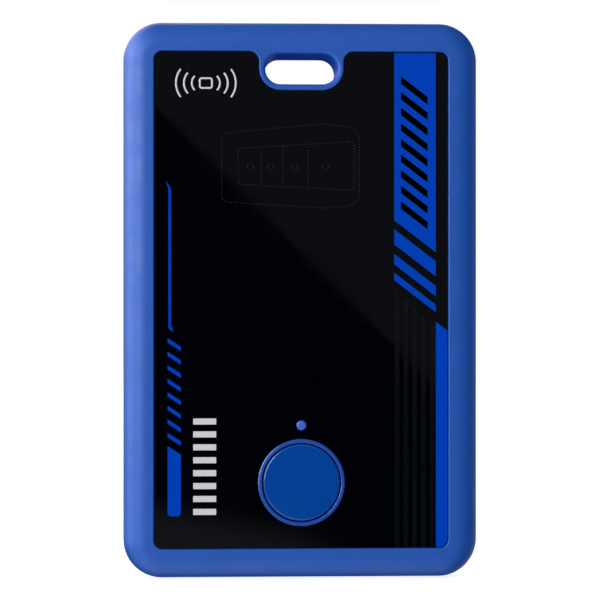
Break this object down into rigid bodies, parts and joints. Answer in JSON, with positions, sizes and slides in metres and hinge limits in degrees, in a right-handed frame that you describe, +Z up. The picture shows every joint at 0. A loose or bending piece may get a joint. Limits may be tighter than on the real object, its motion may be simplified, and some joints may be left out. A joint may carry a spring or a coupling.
{
  "type": "bluetooth tracker tag",
  "caption": "Card-shaped wireless tracker tag with a rounded frame, lanyard slot, glossy front panel, round push button, indicator lens and a quick-turn battery door at the rear.",
  "frame": {"origin": "middle of the lanyard slot, halfway through the card's thickness", "axes": "+Z up the card towards its slotted end, -Y out of the glossy front panel, +X to the right as seen from the front"},
  "size_m": [0.056, 0.008, 0.0877],
  "materials": {
    "frame_plastic": "satin, fine-grained",
    "panel_gloss": "high gloss",
    "ring_plastic": "satin gloss",
    "cap_plastic": "satin gloss",
    "lens_plastic": "clear blue",
    "adhesive": "black foam tape",
    "inner_plastic": "fine-textured black",
    "holder_plastic": "moulded white",
    "seal_rubber": "silicone",
    "board": "solder mask",
    "chip_resin": "moulded resin",
    "shield_metal": "tinned steel",
    "steel": "nickel-plated",
    "brass": "turned",
    "contact_gold": "gold-plated spring metal",
    "ceramic": "glazed",
    "flex_film": "polyimide film",
    "ferrite": "sintered sheet",
    "mesh_fabric": "woven mesh"
  },
  "bodies": {
    "root": {"front_frame": "frame_plastic", "front_panel": "panel_gloss", "panel_adhesive": "adhesive", "button_ring": "ring_plastic", "button_retainer": "steel", "switch_body": "chip_resin", "light_pipe": "lens_plastic", "led_chip": "holder_plastic", "main_board": "board", "radio_module": "shield_metal", "chip_antenna": "ceramic", "controller_chip": "chip_resin", "reader_chip": "chip_resin", "power_chip": "chip_resin", "crystal": "shield_metal", "passives": "ceramic", "nfc_antenna": "flex_film", "ferrite_sheet": "ferrite", "antenna_springs": "contact_gold", "cell_holder": "holder_plastic", "coin_cell": "steel", "positive_contact": "contact_gold", "negative_contact": "contact_gold", "piezo_disc": "brass", "piezo_springs": "contact_gold", "sound_mesh": "mesh_fabric", "rear_cover": "inner_plastic", "cover_gasket": "seal_rubber", "cover_screws": "steel", "threaded_inserts": "brass"},
    "button": {"button_cap": "cap_plastic"},
    "plunger": {"switch_plunger": "holder_plastic"},
    "battery_door": {"battery_door": "inner_plastic", "door_seal": "seal_rubber"}
  },
  "joints": [
    {"name": "button_press", "type": "slide", "parent": "root", "child": "button", "axis": [0, 1, 0], "range_m": [0, 0.0003], "stiffness_N_per_m": 2000},
    {"name": "switch_press", "type": "slide", "parent": "root", "child": "plunger", "axis": [0, 1, 0], "range_m": [0, 0.0003]},
    {"name": "door_unlock", "type": "hinge", "parent": "root", "child": "battery_door", "pos_m": [0, 0.0035, -0.0392], "axis": [0, 1, 0], "range_deg": [0, 50]}
  ],
  "couplings": [
    {"joint": "switch_press", "follows": "button_press", "ratio": 1}
  ]
}
